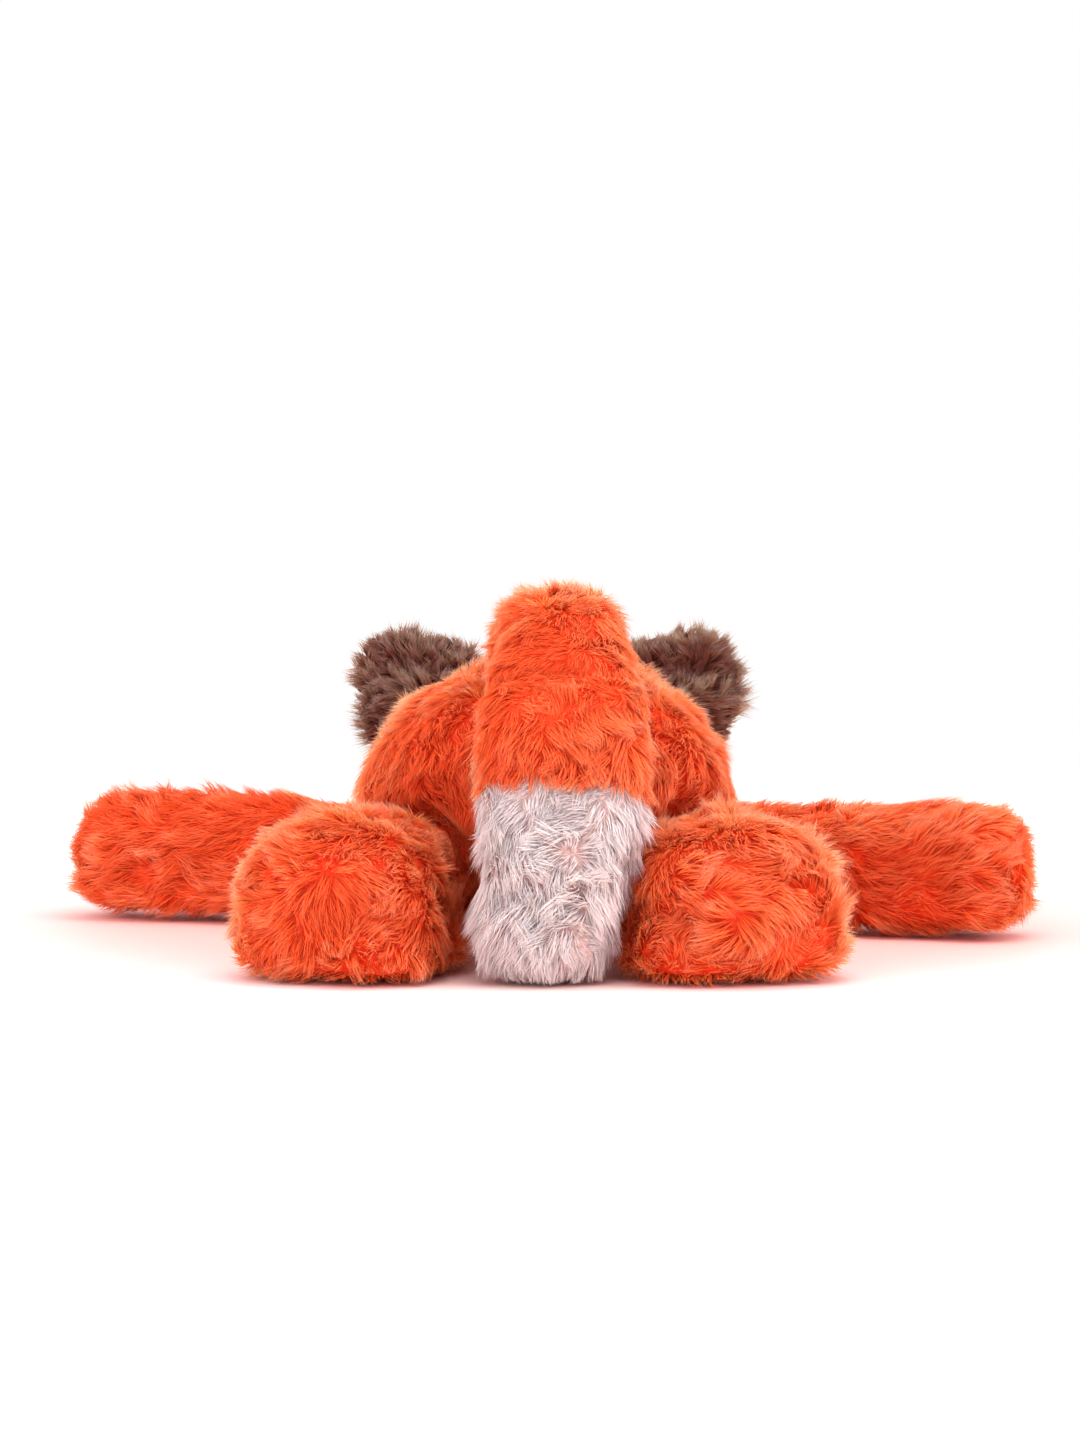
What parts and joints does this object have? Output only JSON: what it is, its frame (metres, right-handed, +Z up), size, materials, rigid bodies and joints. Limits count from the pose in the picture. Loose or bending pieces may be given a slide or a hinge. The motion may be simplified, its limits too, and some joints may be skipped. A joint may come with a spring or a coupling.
{
  "type": "plush fox",
  "caption": "Floppy plush fox lying on its belly, with splayed limbs, perky ears and a bushy tail hung over its rump.",
  "frame": {"origin": "centre of the space that the toy takes up on the surface it lies on, under its belly", "axes": "+Y towards the nose, +Z up, +X to the fox's right"},
  "size_m": [0.3508, 0.332, 0.1246],
  "materials": {
    "orange_fur": "long-pile faux fur in soft pointed locks",
    "white_fur": "long-pile faux fur in soft pointed locks",
    "brown_fur": "long-pile faux fur in soft pointed locks",
    "fibre_filling": "loose polyester fibre",
    "pouch_cloth": "plain woven cloth",
    "black_plastic": "polished",
    "washer_plastic": "as moulded"
  },
  "bodies": {
    "torso": {"back_panel": "orange_fur", "belly_panel": "orange_fur", "torso_filling": "fibre_filling", "belly_pellet_pouch": "pouch_cloth"},
    "head": {"head_panel": "orange_fur", "muzzle_panel": "white_fur", "head_filling": "fibre_filling", "nose": "black_plastic", "nose_washer": "washer_plastic", "left_eye": "black_plastic", "left_eye_washer": "washer_plastic", "right_eye": "black_plastic", "right_eye_washer": "washer_plastic"},
    "left_ear": {"left_ear_back": "brown_fur", "left_ear_lining": "white_fur"},
    "right_ear": {"right_ear_back": "brown_fur", "right_ear_lining": "white_fur"},
    "left_arm": {"left_arm_skin": "orange_fur", "left_arm_filling": "fibre_filling", "left_arm_pellet_pouch": "pouch_cloth"},
    "right_arm": {"right_arm_skin": "orange_fur", "right_arm_filling": "fibre_filling", "right_arm_pellet_pouch": "pouch_cloth"},
    "left_leg": {"left_leg_skin": "orange_fur", "left_leg_filling": "fibre_filling", "left_leg_pellet_pouch": "pouch_cloth"},
    "right_leg": {"right_leg_skin": "orange_fur", "right_leg_filling": "fibre_filling", "right_leg_pellet_pouch": "pouch_cloth"},
    "tail": {"tail_skin": "orange_fur", "tail_tip": "white_fur", "tail_filling": "fibre_filling"}
  },
  "joints": [
    {"name": "neck_nod", "type": "hinge", "parent": "torso", "child": "head", "pos_m": [0, 0.066, 0.038], "axis": [1, 0, 0], "range_deg": [0, 25]},
    {"name": "left_ear_fold", "type": "hinge", "parent": "head", "child": "left_ear", "pos_m": [-0.04613, 0.10599, 0.07877], "axis": [0.7193, 0, 0.6947], "range_deg": [-35, 35], "stiffness_Nm_per_rad": 0.03},
    {"name": "right_ear_fold", "type": "hinge", "parent": "head", "child": "right_ear", "pos_m": [0.04613, 0.10599, 0.07877], "axis": [0.7193, 0, -0.6947], "range_deg": [-35, 35], "stiffness_Nm_per_rad": 0.03},
    {"name": "left_shoulder_swing", "type": "hinge", "parent": "torso", "child": "left_arm", "pos_m": [-0.053, 0.041, 0.0245], "axis": [0, 0, -1], "range_deg": [-55, 15]},
    {"name": "right_shoulder_swing", "type": "hinge", "parent": "torso", "child": "right_arm", "pos_m": [0.053, 0.041, 0.0245], "axis": [0, 0, 1], "range_deg": [-15, 55]},
    {"name": "left_hip_splay", "type": "hinge", "parent": "torso", "child": "left_leg", "pos_m": [-0.05, -0.091, 0.028], "axis": [0, 0, -1], "range_deg": [0, 40]},
    {"name": "right_hip_splay", "type": "hinge", "parent": "torso", "child": "right_leg", "pos_m": [0.05, -0.091, 0.028], "axis": [0, 0, 1], "range_deg": [0, 40]},
    {"name": "tail_lift", "type": "hinge", "parent": "torso", "child": "tail", "pos_m": [0, -0.062, 0.099], "axis": [-1, 0, 0], "range_deg": [0, 45]}
  ]
}
